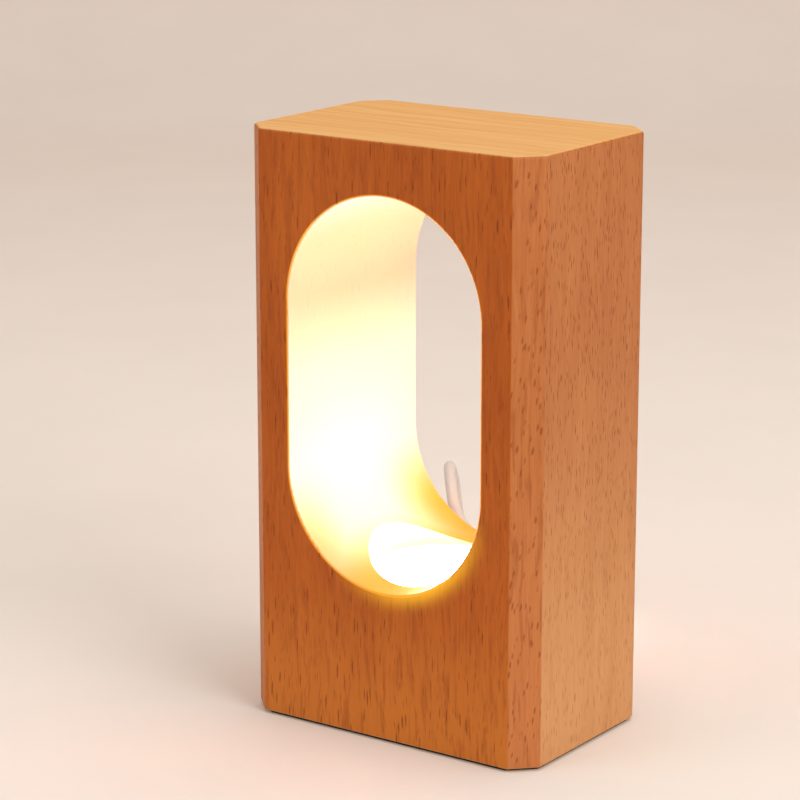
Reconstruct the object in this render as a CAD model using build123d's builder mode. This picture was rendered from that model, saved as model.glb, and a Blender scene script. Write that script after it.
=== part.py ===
from build123d import *

import os
from math import cos, pi, radians, sin, tan

# Wooden desk lamp. A block of beech stands on end, with a tall round-ended opening through it.
# A light module sits in a bore below the opening, a small driver board in a pocket under it,
# and a thin white lead with a rocker switch and a plug leaves through the back.
# Millimetres, +Z up. The origin is the middle of the foot pad's underside, the front faces -Y.

os.makedirs("parts", exist_ok=True)

# Wooden block
lamp_height = 150
block_width = 85
block_depth = 55
corner_flat = 5.8
arris_round = 1
rear_arris_round = 2.5
top_round = 0.9
bottom_round = 0.5
opening_width = 56.4
opening_bottom = 38.5
opening_headroom = 13.4
rim_round = 0.6
bore_wall = 8.1

# Pocket under the block, and the rebate that takes the base plate
pocket_ceiling = 24
front_wall = 7.5
end_wall = 12.5
pocket_corner = 10
rebate_land = 4
rebate_corner = 6

# Foot pad and base plate
pad_thickness = 0.8
pad_inset = 1.2
plate_thickness = 3
plate_gap = 0.2
base_screw_edge = 4.4
base_screw_diameter = 3
base_screw_head = 5.2
base_screw_length = 12

# Light module
bore_gap = 0.2
diffuser_drop = 0.1
diffuser_thickness = 2
diffuser_round = 0.4
spigot_depth = 2
spigot_wall = 1.2
spigot_gap = 0.1
cup_wall = 1.5
ear_length = 7.6
ear_width = 12
ear_thickness = 2
ear_hole_inset = 3.6
shelf_thickness = 1.2
shelf_width = 2.5
boss_diameter = 4.4
boss_height = 4
mixing_height = 9.4
board_thickness = 1.6
board_gap = 0.4
thermal_pad_thickness = 0.5
heat_plate_thickness = 3
module_screw_inset = 2.8
module_screw_diameter = 2
module_screw_head = 3.8
module_screw_length = 8.5
lead_hole_diameter = 6
led_count = 12
led_ring_inset = 6.7
led_length = 3.5
led_width = 2.8
led_height = 0.7
cup_screw_diameter = 3
cup_screw_head = 5.4
cup_screw_length = 10
screw_head_height = 1.7
screw_gap = 0.05
pass_through = 1

# Driver board and the cord's clamp
driver_width = 20
driver_side_gap = 3
driver_front_gap = 4
spacer_height = 4
spacer_diameter = 5
driver_screw_diameter = 2.2
driver_screw_inset = 3
driver_screw_bite = 2.4
clamp_side_gap = 4
clamp_y = 3
clamp_length = 18
clamp_width = 6
clamp_height = 5
clamp_screw_spacing = 11
clamp_screw_diameter = 2.5

# Cord
cord_diameter = 3.2
core_diameter = 1.1
cord_height = 17
cord_gap = 0.05
core_spacing = 1.4
floor_clearance = 0.02
sleeve_neck_diameter = 7
sleeve_neck_gap = 0.1
sleeve_flange_diameter = 9.2
sleeve_flange_thickness = 1.5
sleeve_collar_diameter = 9
sleeve_collar_thickness = 1.2
sleeve_reach = 9.5
sleeve_root_diameter = 6.8
sleeve_tip_diameter = 4.6

# Switch on the cord
switch_length = 42
switch_width = 16
switch_height = 12
switch_corner = 6.5
switch_wall = 1.4
switch_x = -4.2
switch_behind = 49.1
switch_heading = -54.7
switch_edge_round = 1.6
rocker_tilt = 8
rocker_radius = 6.8
rocker_width = 8.4
rocker_gap = 0.3
rocker_rise = 3.6
rocker_belly = 1.2
rocker_pivot = 8.6
trunnion_radius = 1
trunnion_gap = 0.08
trunnion_length = 1.6
bearing_thickness = 1.4
plunger_radius = 1
plunger_gap = 0.1
plunger_reach = 4.4
blade_pivot = 3.5
blade_thickness = 0.6
bead_radius = 0.3
bead_gap = 0.08
blade_length = 11
blade_width = 3
blade_tilt = 6
contact_gap = 0.1
switch_screw_offset = 14.5
switch_screw_side = 4.3
switch_screw_diameter = 2
switch_screw_head = 3.8
switch_boss_diameter = 4.4
jacket_inside = 5

# Coil of the put-away lead
coil_x = -30
coil_gap = 3.6
coil_radius = 18
coil_columns = 3
coil_rows = 4
coil_pitch = 3.25
coil_lift = 0.75
coil_corner = 1.5
tie_angle = 40
tie_width = 6
tie_thickness = 0.65
tie_gap = 0.4

# Plug at the end of the lead
plug_length = 18
plug_width = 15.5
plug_thickness = 7.6
plug_corner = 2
plug_relief_length = 6
plug_relief_diameter = 5.6
plug_relief_tip = 4.4
plug_angle = 160
plug_turn_radius = 15
plug_shell_width = 12
plug_shell_height = 4.5
plug_shell_reach = 12
plug_shell_wall = 0.3
tongue_thickness = 1.9
tongue_short = 0.8
tongue_gap = 0.1
plug_contact_count = 4
plug_contact_width = 1
plug_contact_pitch = 2.3
plug_contact_thickness = 0.2

# Places worked out from the sizes above
back_face = block_depth / 2
pocket_length = block_width - 2 * end_wall
pocket_width = block_depth - 2 * front_wall
rebate_length = pocket_length + 2 * rebate_land
rebate_width = pocket_width + 2 * rebate_land
plate_top = pad_thickness + plate_thickness
opening_height = lamp_height - opening_headroom - opening_bottom
opening_middle = opening_bottom + opening_height / 2
bore_radius = block_depth / 2 - bore_wall
diffuser_top = opening_bottom - diffuser_drop
cup_top = diffuser_top - diffuser_thickness
cup_radius = bore_radius - bore_gap
cup_inner = cup_radius - cup_wall
board_top = cup_top - mixing_height
board_bottom = board_top - board_thickness
pad_bottom = board_bottom - thermal_pad_thickness
heat_bottom = pad_bottom - heat_plate_thickness
cup_bottom = pocket_ceiling - ear_thickness
shelf_inner = cup_inner - shelf_width
board_radius = cup_inner - board_gap
spigot_radius = cup_inner - spigot_gap
module_screw_radius = cup_inner - module_screw_inset
led_ring_radius = cup_inner - led_ring_inset
ear_reach = bore_radius + ear_length
ear_hole_offset = ear_reach - ear_hole_inset
ear_points = [(-ear_hole_offset, 0), (ear_hole_offset, 0)]
base_screw_x = rebate_length / 2 - base_screw_edge
base_screw_y = rebate_width / 2 - base_screw_edge
driver_length = pocket_length - clamp_length - clamp_side_gap - 2 * driver_side_gap
driver_x = driver_side_gap + (driver_length - pocket_length) / 2
driver_y = driver_front_gap + (driver_width - pocket_width) / 2
clamp_x = (pocket_length - clamp_length) / 2 - clamp_side_gap
driver_bottom = plate_top + spacer_height
driver_top = driver_bottom + board_thickness
driver_hole_x = driver_length - 2 * driver_screw_inset
driver_hole_y = driver_width - 2 * driver_screw_inset
cord_radius = cord_diameter / 2
clamp_cord_height = plate_top + cord_radius + cord_gap
sleeve_tip = back_face + sleeve_reach
floor_line = cord_radius + floor_clearance


def screw(diameter, head_diameter, head_height, length):
    """Pan-head screw in the open part: head under z = 0 of the local plane, shank up from it."""
    with Locations((0, 0, -head_height / 2)):
        Cylinder(head_diameter / 2, head_height)
    with Locations((0, 0, length / 2)):
        Cylinder(diameter / 2, length)


def corner_radii(points):
    """The arc for each corner of a cord's route, as large as the two runs beside it allow."""
    radii = []
    for before, corner, after in zip(points, points[1:], points[2:]):
        run_in = Vector(*corner) - Vector(*before)
        run_out = Vector(*after) - Vector(*corner)
        turn = run_in.get_angle(run_out)
        shorter = min(run_in.length, run_out.length)
        radii.append(0.45 * shorter / tan(radians(turn / 2)))
    return radii


def lay_tube(points, diameter):
    """Sweep a round cord of this diameter along the route, into the open part."""
    with BuildLine() as route:
        FilletPolyline(*points, radius=corner_radii(points))
    path = route.wire()
    with BuildSketch(Plane(origin=path @ 0, z_dir=path % 0)) as section:
        Circle(diameter / 2)
    sweep(section.sketch, path=path)
    return path.length


def behind(x, distance, height):
    """A point of a cord's route, given by its distance behind the block's back face."""
    return (x, back_face + distance, height)


# Wooden block: outside
with BuildPart() as wooden_body:
    with BuildSketch(Plane.XY.offset(pad_thickness)) as outline:
        Rectangle(block_width, block_depth)
        chamfer(outline.vertices(), corner_flat)
    extrude(amount=lamp_height - pad_thickness)
    upright = wooden_body.edges().filter_by(Axis.Z).sort_by(Axis.Y)
    fillet(upright[:4], arris_round)
    upright = wooden_body.edges().filter_by(Axis.Z).sort_by(Axis.Y)
    fillet(upright[-4:], rear_arris_round)
    fillet(wooden_body.faces().sort_by(Axis.Z)[-1].edges(), top_round)
    fillet(wooden_body.faces().sort_by(Axis.Z)[0].edges(), bottom_round)
    # Opening from front to back, with softened rims
    with BuildSketch(Plane.XZ) as opening:
        with Locations((0, opening_middle)):
            SlotOverall(opening_height, opening_width, rotation=90)
    extrude(amount=block_depth, both=True, mode=Mode.SUBTRACT)
    front = wooden_body.faces().sort_by(Axis.Y)[0]
    rear = wooden_body.faces().sort_by(Axis.Y)[-1]
    fillet(front.inner_wires()[0].edges() + rear.inner_wires()[0].edges(), rim_round)
    # Bore for the light module, open into the bottom of the opening
    with BuildSketch(Plane.XY.offset(pocket_ceiling)):
        Circle(bore_radius)
    extrude(amount=opening_middle - pocket_ceiling, mode=Mode.SUBTRACT)
    # Pocket and rebate from below
    with BuildSketch(Plane.XY.offset(pad_thickness)):
        RectangleRounded(pocket_length, pocket_width, pocket_corner)
    extrude(amount=pocket_ceiling - pad_thickness, mode=Mode.SUBTRACT)
    with BuildSketch(Plane.XY.offset(pad_thickness)):
        RectangleRounded(rebate_length, rebate_width, rebate_corner)
    extrude(amount=plate_thickness, mode=Mode.SUBTRACT)
    # Pilot holes for the base screws and for the light cup's screws
    with BuildSketch(Plane.XY.offset(plate_top)):
        with GridLocations(2 * base_screw_x, 2 * base_screw_y, 2, 2):
            Circle(base_screw_diameter / 2 + screw_gap)
    extrude(amount=base_screw_length, mode=Mode.SUBTRACT)
    with BuildSketch(Plane.XY.offset(pocket_ceiling)):
        with Locations(ear_points):
            Circle(cup_screw_diameter / 2 + screw_gap)
    extrude(amount=cup_screw_length, mode=Mode.SUBTRACT)
    # Hole for the cord through the back wall
    with BuildSketch(Plane.XZ.offset(-back_face - pass_through)):
        with Locations((0, cord_height)):
            Circle(sleeve_neck_diameter / 2 + sleeve_neck_gap)
    extrude(amount=front_wall + 2 * pass_through, mode=Mode.SUBTRACT)

# Base plate of thin plywood, with countersunk holes at its corners
with BuildPart() as base_plate:
    with BuildSketch(Plane.XY.offset(pad_thickness)):
        RectangleRounded(
            rebate_length - 2 * plate_gap,
            rebate_width - 2 * plate_gap,
            rebate_corner - plate_gap,
        )
    extrude(amount=plate_thickness)
    with Locations(Plane.XY.offset(pad_thickness)):
        with GridLocations(2 * base_screw_x, 2 * base_screw_y, 2, 2):
            with Locations(Rotation(180, 0, 0)):
                CounterSinkHole(
                    base_screw_diameter / 2 + screw_gap,
                    base_screw_head / 2 + screw_gap,
                    counter_sink_angle=90,
                )
    # Pilot holes for the driver board's screws and the clamp's screws
    with BuildSketch(Plane.XY.offset(plate_top)):
        with Locations((driver_x, driver_y)):
            with GridLocations(driver_hole_x, driver_hole_y, 2, 2):
                Circle(driver_screw_diameter / 2 + screw_gap)
        with Locations((clamp_x, clamp_y)):
            with GridLocations(clamp_screw_spacing, 0, 2, 1):
                Circle(clamp_screw_diameter / 2 + screw_gap)
    extrude(amount=-driver_screw_bite - screw_gap, mode=Mode.SUBTRACT)

# Countersunk wood screws that hold the base plate
with BuildPart() as base_screws:
    head_depth = (base_screw_head - base_screw_diameter) / 2
    with Locations(Plane.XY.offset(pad_thickness)):
        with GridLocations(2 * base_screw_x, 2 * base_screw_y, 2, 2):
            with Locations((0, 0, head_depth / 2)):
                Cone(base_screw_head / 2, base_screw_diameter / 2, head_depth)
            with Locations((0, 0, base_screw_length / 2)):
                Cylinder(base_screw_diameter / 2, base_screw_length)

# Foot pad of black foam, glued over the whole underside
with BuildPart() as foot_pad:
    with BuildSketch() as pad_outline:
        Rectangle(block_width - 2 * pad_inset, block_depth - 2 * pad_inset)
        chamfer(pad_outline.vertices(), corner_flat)
    extrude(amount=pad_thickness)

# Light cup: a moulded tube in the bore, with two ears screwed up against the pocket's ceiling
with BuildPart() as light_cup:
    with BuildSketch(Plane.XY.offset(cup_bottom)):
        Circle(cup_radius)
        Circle(cup_inner, mode=Mode.SUBTRACT)
    extrude(amount=cup_top - cup_bottom)
    with BuildSketch(Plane.XY.offset(cup_bottom)) as ears:
        SlotOverall(2 * ear_reach, ear_width)
        Circle(cup_radius - cup_wall / 2, mode=Mode.SUBTRACT)
        with Locations(ear_points):
            Circle(cup_screw_diameter / 2 + screw_gap, mode=Mode.SUBTRACT)
    extrude(amount=ear_thickness)
    # Shelf that the light board is screwed up against, with three bosses on it
    with BuildSketch(Plane.XY.offset(board_top)):
        Circle(cup_inner + cup_wall / 2)
        Circle(shelf_inner, mode=Mode.SUBTRACT)
    extrude(amount=shelf_thickness)
    with BuildSketch(Plane.XY.offset(board_top)):
        with PolarLocations(module_screw_radius, 3, start_angle=90):
            Circle(boss_diameter / 2)
    extrude(amount=boss_height)
    with BuildSketch(Plane.XY.offset(board_top)):
        with PolarLocations(module_screw_radius, 3, start_angle=90):
            Circle(module_screw_diameter / 2 + screw_gap)
    extrude(amount=boss_height - screw_gap, mode=Mode.SUBTRACT)

# Opal diffuser with a short spigot that plugs into the cup
with BuildPart() as diffuser:
    with BuildSketch(Plane.XY.offset(cup_top)):
        Circle(cup_radius)
    extrude(amount=diffuser_thickness)
    fillet(diffuser.faces().sort_by(Axis.Z)[-1].edges(), diffuser_round)
    with BuildSketch(Plane.XY.offset(cup_top)):
        Circle(spigot_radius)
        Circle(spigot_radius - spigot_wall, mode=Mode.SUBTRACT)
    extrude(amount=-spigot_depth)


def round_board(radius, bottom, thickness):
    """A disc of the light module: a hole in the middle for the leads, three for the screws."""
    with BuildSketch(Plane.XY.offset(bottom)) as disc:
        Circle(radius)
        Circle(lead_hole_diameter / 2, mode=Mode.SUBTRACT)
        with PolarLocations(module_screw_radius, 3, start_angle=90):
            Circle(module_screw_diameter / 2 + screw_gap, mode=Mode.SUBTRACT)
    extrude(disc.sketch, amount=thickness)


with BuildPart() as led_board:
    round_board(board_radius, board_bottom, board_thickness)

with BuildPart() as thermal_pad:
    round_board(board_radius - board_gap, pad_bottom, thermal_pad_thickness)

with BuildPart() as heat_plate:
    round_board(board_radius, heat_bottom, heat_plate_thickness)

# Light chips, soldered in a ring
with BuildPart() as leds:
    with BuildSketch(Plane.XY.offset(board_top)):
        with PolarLocations(led_ring_radius, led_count, start_angle=15):
            Rectangle(led_width, led_length)
    extrude(amount=led_height)

# Screws through heat plate, pad and board into the cup's bosses
with BuildPart() as heat_plate_screws:
    with Locations(Plane.XY.offset(heat_bottom)):
        with PolarLocations(module_screw_radius, 3, start_angle=90):
            screw(module_screw_diameter, module_screw_head, screw_head_height, module_screw_length)

# Screws through the cup's ears into the wood
with BuildPart() as cup_screws:
    with Locations(Plane.XY.offset(cup_bottom)):
        with Locations(ear_points):
            screw(cup_screw_diameter, cup_screw_head, screw_head_height, cup_screw_length)

# Driver board on four spacers
with BuildPart() as driver_board:
    with BuildSketch(Plane.XY.offset(driver_bottom)):
        with Locations((driver_x, driver_y)):
            Rectangle(driver_length, driver_width)
            with GridLocations(driver_hole_x, driver_hole_y, 2, 2):
                Circle(driver_screw_diameter / 2 + screw_gap, mode=Mode.SUBTRACT)
    extrude(amount=board_thickness)

with BuildPart() as driver_spacers:
    with BuildSketch(Plane.XY.offset(plate_top)):
        with Locations((driver_x, driver_y)):
            with GridLocations(driver_hole_x, driver_hole_y, 2, 2):
                Circle(spacer_diameter / 2)
                Circle(driver_screw_diameter / 2 + screw_gap, mode=Mode.SUBTRACT)
    extrude(amount=spacer_height)

with BuildPart() as driver_screws:
    driver_screw_length = board_thickness + spacer_height + driver_screw_bite
    with Locations(Plane.XY.offset(driver_top)):
        with Locations((driver_x, driver_y)):
            with GridLocations(driver_hole_x, driver_hole_y, 2, 2):
                with Locations(Rotation(180, 0, 0)):
                    screw(driver_screw_diameter, spacer_diameter, screw_head_height, driver_screw_length)

# Parts on the driver board: inductor, capacitor, chip, diode and a row of three resistors
inductor_diameter = 6
inductor_height = 4.5
capacitor_diameter = 5
capacitor_height = 5.4
chip_length = 4.9
chip_width = 3.9
chip_height = 1.4
diode_length = 4.5
diode_width = 2.6
diode_height = 2.2
resistor_length = 2
resistor_width = 1.25
resistor_height = 0.6
resistor_pitch = 4
part_gap = 0.6
part_row = 6
resistor_row = 2.7
lead_pad_row = 6.5
lead_pad_spacing = 3.6
part_room = (driver_hole_x - spacer_diameter) / 2 - part_gap
inductor_x = driver_x - part_room + inductor_diameter / 2
capacitor_x = driver_x + part_room - capacitor_diameter / 2
diode_x = capacitor_x - (capacitor_diameter + diode_length) / 2 - part_gap
lead_pad_x = driver_x - part_room + (lead_pad_spacing + core_diameter) / 2
chip_x = lead_pad_x + (lead_pad_spacing + core_diameter + chip_length) / 2 + part_gap
with BuildPart() as driver_parts:
    with Locations(Plane.XY.offset(driver_top)):
        with Locations((inductor_x, driver_y - 1, inductor_height / 2)):
            Cylinder(inductor_diameter / 2, inductor_height)
        with Locations((capacitor_x, driver_y - part_row, capacitor_height / 2)):
            Cylinder(capacitor_diameter / 2, capacitor_height)
        with Locations((chip_x, driver_y + part_row, chip_height / 2)):
            Box(chip_length, chip_width, chip_height)
        with Locations((diode_x, driver_y - part_row, diode_height / 2)):
            Box(diode_length, diode_width, diode_height)
        with Locations((driver_x, driver_y + resistor_row, resistor_height / 2)):
            with GridLocations(resistor_pitch, 0, 3, 1):
                Box(resistor_length, resistor_width, resistor_height)

# Clamp that holds the cord down on the base plate, and its two screws
clamp_screw_length = clamp_height + driver_screw_bite
with BuildPart() as cord_clamp:
    with BuildSketch(Plane.XZ.offset(-clamp_y)) as clamp_profile:
        with Locations((clamp_x, plate_top + clamp_height / 2)):
            Rectangle(clamp_length, clamp_height)
        with Locations((clamp_x, clamp_cord_height)):
            Circle(cord_radius + cord_gap, mode=Mode.SUBTRACT)
        with Locations((clamp_x, (plate_top + clamp_cord_height) / 2)):
            Rectangle(cord_diameter + 2 * cord_gap, clamp_cord_height - plate_top, mode=Mode.SUBTRACT)
    extrude(amount=clamp_width / 2, both=True)
    with BuildSketch(Plane.XY.offset(plate_top)):
        with Locations((clamp_x, clamp_y)):
            with GridLocations(clamp_screw_spacing, 0, 2, 1):
                Circle(clamp_screw_diameter / 2 + screw_gap)
    extrude(amount=clamp_height, mode=Mode.SUBTRACT)

with BuildPart() as clamp_screws:
    with Locations(Plane.XY.offset(plate_top + clamp_height)):
        with Locations((clamp_x, clamp_y)):
            with GridLocations(clamp_screw_spacing, 0, 2, 1):
                with Locations(Rotation(180, 0, 0)):
                    screw(clamp_screw_diameter, spacer_diameter, screw_head_height, clamp_screw_length)

# Two leads from the driver board up through the module to the light board
lead_pad_y = driver_y + lead_pad_row
lead_middle = 1.2
lead_landing = 4.6
lead_rise = 1.6
with BuildPart() as led_leads:
    for side in (-1, 1):
        lead_x = lead_pad_x + side * lead_pad_spacing / 2
        lead_points = [
            (lead_x, lead_pad_y, driver_top),
            (lead_x, lead_pad_y, driver_top + 4),
            (side * lead_middle, 0, heat_bottom - 5),
            (side * lead_middle, 0, board_top + lead_rise),
            (side * lead_landing, 0, board_top + lead_rise),
            (side * lead_landing, 0, board_top),
        ]
        lay_tube(lead_points, core_diameter)

# Sleeve of soft plastic that guards the cord in the back wall: flange, neck, collar and taper
with BuildPart() as cord_sleeve:
    flange_back = back_face - front_wall
    with BuildSketch(Plane.YZ) as sleeve_profile:
        with BuildLine():
            Polyline(
                (flange_back - sleeve_flange_thickness, cord_height + cord_radius + cord_gap),
                (flange_back - sleeve_flange_thickness, cord_height + sleeve_flange_diameter / 2),
                (flange_back, cord_height + sleeve_flange_diameter / 2),
                (flange_back, cord_height + sleeve_neck_diameter / 2),
                (back_face, cord_height + sleeve_neck_diameter / 2),
                (back_face, cord_height + sleeve_collar_diameter / 2),
                (back_face + sleeve_collar_thickness, cord_height + sleeve_collar_diameter / 2),
                (back_face + sleeve_collar_thickness, cord_height + sleeve_root_diameter / 2),
                (sleeve_tip, cord_height + sleeve_tip_diameter / 2),
                (sleeve_tip, cord_height + cord_radius + cord_gap),
                close=True,
            )
        make_face()
    revolve(axis=Axis((0, 0, cord_height), (0, 1, 0)))

# Switch frames: one flat on the floor, one upright along the cord, and the rocker's own
switch_y = back_face + switch_behind
along = Vector(cos(radians(switch_heading)), sin(radians(switch_heading)), 0)
switch_floor = Plane(origin=(switch_x, switch_y, 0), x_dir=along)
switch_side = Plane(origin=switch_floor.origin, x_dir=along, z_dir=-switch_floor.y_dir)
switch_split = switch_height / 2
rocker_origin = switch_floor.origin + Vector(0, 0, rocker_pivot)
tilted = along.rotate(Axis((0, 0, 0), switch_floor.y_dir), rocker_tilt)
rocker_side = Plane(origin=rocker_origin, x_dir=tilted, z_dir=-switch_floor.y_dir)


def in_switch(distance, height):
    """A point on the switch's long axis: distance from its middle towards the plug, and height."""
    point = switch_floor.from_local_coords((distance, 0, height))
    return (point.X, point.Y, point.Z)


def beside_switch(distance, side, height):
    """A point inside the switch, off its long axis."""
    point = switch_floor.from_local_coords((distance, side, height))
    return (point.X, point.Y, point.Z)


# Routes of the cord. Lamp to switch: out of the sleeve, up over the coil in a loop that shows
# through the opening, down behind it and round into the switch.
jacket_end = switch_length / 2 - jacket_inside
entry_corner = switch_length / 2 + 5
route_to_switch = [
    behind(0, 0, cord_height),
    behind(0, 16.5, cord_height),
    behind(-11.3, 27.2, 19.8),
    behind(-25.2, 27.2, 25.1),
    behind(-34, 26.9, 32.7),
    behind(-39.2, 32.3, 40),
    behind(-45.2, 40.3, 42.1),
    behind(-49.7, 47.7, 39.5),
    behind(-52.6, 54, 33.1),
    behind(-53.8, 57.7, 20.8),
    behind(-53.5, 63.2, 11.5),
    behind(-49.4, 68.2, 5.7),
    behind(-43.4, 72.1, 2.6),
    behind(-36, 74.4, 2.2),
    behind(-28.5, 74.5, 4.2),
    in_switch(-entry_corner, switch_split),
    in_switch(-jacket_end, switch_split),
]

# Switch to coil: round under the sleeve and along the back face to the outside of the coil
route_from_switch = [
    in_switch(jacket_end, switch_split),
    in_switch(entry_corner - 0.2, switch_split),
    behind(11.6, 18.7, 4.2),
    behind(7, 9.7, 2.2),
    behind(-1.6, 4.3, floor_line),
    behind(-12, 3.7, 1.8),
    behind(-23.5, 5.4, 2.2),
]

# Inside the lamp: from the sleeve down to the clamp on the base plate
route_inside = [
    behind(0, 0, cord_height),
    (0, pocket_width / 2 - 5.5, cord_height),
    (5, pocket_width / 2 - 10, 10.5),
    (clamp_x, clamp_y + 9, clamp_cord_height),
    (clamp_x, clamp_y - clamp_width / 2 - 2, clamp_cord_height),
]

cord_lengths = {}
with BuildPart() as inner_cord:
    cord_lengths["inner_cord"] = lay_tube(route_inside, cord_diameter)

with BuildPart() as cord_to_switch:
    cord_lengths["cord_to_switch"] = lay_tube(route_to_switch, cord_diameter)

with BuildPart() as cord_from_switch:
    cord_lengths["cord_from_switch"] = lay_tube(route_from_switch, cord_diameter)

# Bare cores of the cord, soldered to the driver board
cord_end = Vector(*route_inside[-1])
supply_pad_x = driver_x + driver_length / 2 - 2.5
supply_pad_spacing = 3.2
with BuildPart() as supply_cores:
    for side in (-1, 1):
        start_x = cord_end.X + side * core_spacing / 2
        pad_y = driver_y - 1 - side * supply_pad_spacing / 2
        core_points = [
            (start_x, cord_end.Y, cord_end.Z),
            (start_x, cord_end.Y - 3, cord_end.Z),
            (supply_pad_x + 5, pad_y, driver_top + 3),
            (supply_pad_x, pad_y, driver_top + 2.5),
            (supply_pad_x, pad_y, driver_top),
        ]
        lay_tube(core_points, core_diameter)

# Lower half of the switch's case: floor, walls, cord notches, screw bosses and the off stop
boss_points = [(-switch_screw_offset, switch_screw_side), (switch_screw_offset, switch_screw_side)]
inner_length = switch_length - 2 * switch_wall
inner_width = switch_width - 2 * switch_wall
inner_corner = switch_corner - switch_wall
cord_way = Location((0, switch_split, 0), (0, 90, 0))
blade_end = blade_length / 2
stop_width = 1
stop_offset = blade_end - stop_width / 2
rest_height = blade_pivot - stop_offset * sin(radians(blade_tilt)) - contact_gap
screw_recess = 1.8
terminal_width = blade_width - stop_width - contact_gap
with BuildPart() as switch_base:
    with BuildSketch(switch_floor):
        RectangleRounded(switch_length, switch_width, switch_corner)
    extrude(amount=switch_split)
    fillet(switch_base.faces().sort_by(Axis.Z)[0].edges(), switch_edge_round)
    with BuildSketch(switch_floor.offset(switch_wall)):
        RectangleRounded(inner_length, inner_width, inner_corner)
    extrude(amount=switch_split - switch_wall, mode=Mode.SUBTRACT)
    with BuildSketch(switch_floor.offset(switch_wall)):
        with Locations(boss_points):
            Circle(switch_boss_diameter / 2)
    extrude(amount=switch_split - switch_wall)
    with BuildSketch(switch_floor.offset(switch_wall)):
        with Locations((stop_offset, 0)):
            with GridLocations(0, blade_width, 1, 2):
                Rectangle(stop_width, stop_width)
    extrude(amount=rest_height - switch_wall)
    with BuildSketch(switch_floor):
        with Locations(boss_points):
            Circle(switch_screw_diameter / 2 + 2 * screw_gap)
    extrude(amount=switch_split, mode=Mode.SUBTRACT)
    with BuildSketch(switch_floor):
        with Locations(boss_points):
            Circle(switch_screw_head / 2 + 2 * screw_gap)
    extrude(amount=screw_recess, mode=Mode.SUBTRACT)
    with Locations(switch_side.location * cord_way):
        Cylinder(cord_radius + cord_gap, switch_length + 2, mode=Mode.SUBTRACT)

# Upper half: roof with the rocker's window, bosses, and two bearings for the rocker
window_length = 2 * rocker_radius
window_width = rocker_width + 2 * rocker_gap
bearing_inner = window_width / 2 + 0.1
bearing_width = 5
bearing_drop = trunnion_radius + 1
with BuildPart() as switch_cover:
    with BuildSketch(switch_floor.offset(switch_split)):
        RectangleRounded(switch_length, switch_width, switch_corner)
    extrude(amount=switch_height - switch_split)
    fillet(switch_cover.faces().sort_by(Axis.Z)[-1].edges(), switch_edge_round)
    with BuildSketch(switch_floor.offset(switch_split)):
        RectangleRounded(inner_length, inner_width, inner_corner)
    extrude(amount=switch_height - switch_split - switch_wall, mode=Mode.SUBTRACT)
    with BuildSketch(switch_floor.offset(switch_split)):
        with Locations(boss_points):
            Circle(switch_boss_diameter / 2)
    extrude(amount=switch_height - switch_split - switch_wall)
    with BuildSketch(switch_floor.offset(switch_split)):
        with Locations(boss_points):
            Circle(switch_screw_diameter / 2 + screw_gap)
    extrude(amount=switch_height - switch_split - 2 * switch_wall, mode=Mode.SUBTRACT)
    with BuildSketch(switch_floor.offset(rocker_pivot - bearing_drop)):
        for side in (-1, 1):
            with Locations((0, side * (bearing_inner + bearing_thickness / 2))):
                Rectangle(bearing_width, bearing_thickness)
    extrude(amount=switch_height - switch_wall - rocker_pivot + bearing_drop)
    with BuildSketch(switch_floor.offset(switch_split)):
        Rectangle(window_length, window_width)
    extrude(amount=switch_height, mode=Mode.SUBTRACT)
    with Locations(switch_side.location * Location((0, rocker_pivot, 0))):
        Cylinder(trunnion_radius + trunnion_gap, 2 * (bearing_inner + trunnion_length), mode=Mode.SUBTRACT)
    with Locations(switch_side.location * cord_way):
        Cylinder(cord_radius + cord_gap, switch_length + 2, mode=Mode.SUBTRACT)

# Rocker, tipped to its on side: round ends about the pivot, a shallow V on top, two stub axles
plunger_bore = plunger_radius + plunger_gap
plunger_wall = 0.9
foot_drop = 1.4
bore_depth = 4.2
axle_length = 2 * (bearing_inner + trunnion_length - 0.2)
with BuildPart() as switch_rocker:
    with BuildSketch(rocker_side) as rocker_profile:
        Circle(rocker_radius)
        with BuildLine():
            half = rocker_radius + 1
            rise = half * tan(radians(rocker_tilt))
            Polyline(
                (-half, -rocker_belly),
                (half, -rocker_belly),
                (half, rocker_rise + rise),
                (0, rocker_rise),
                (-half, rocker_rise + rise),
                close=True,
            )
        make_face(mode=Mode.INTERSECT)
    extrude(amount=rocker_width / 2, both=True)
    with Locations(rocker_side.location):
        Cylinder(trunnion_radius, axle_length)
    foot_plane = Plane(origin=rocker_origin, x_dir=tilted, z_dir=rocker_side.y_dir)
    with BuildSketch(foot_plane.offset(-rocker_belly)):
        Circle(plunger_bore + plunger_wall)
    extrude(amount=-foot_drop)
    with BuildSketch(foot_plane.offset(-rocker_belly - foot_drop)):
        Circle(plunger_bore)
    extrude(amount=bore_depth, mode=Mode.SUBTRACT)

# Plunger and its spring in the rocker's foot
plunger_length = 3
plunger_tip = 0.5
spring_wall = 0.35
spring_gap = 0.02
spring_start = -plunger_reach + plunger_length + spring_gap
spring_end = bore_depth - rocker_belly - foot_drop - spring_gap
with BuildPart() as switch_plunger:
    with BuildSketch(foot_plane.offset(-plunger_reach)):
        Circle(plunger_radius)
    extrude(amount=plunger_length)
    fillet(switch_plunger.edges().group_by(SortBy.DISTANCE)[-1], plunger_tip)

with BuildPart() as plunger_spring:
    with BuildSketch(foot_plane.offset(spring_start)):
        Circle(plunger_radius)
        Circle(plunger_radius - spring_wall, mode=Mode.SUBTRACT)
    extrude(amount=spring_end - spring_start)

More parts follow.
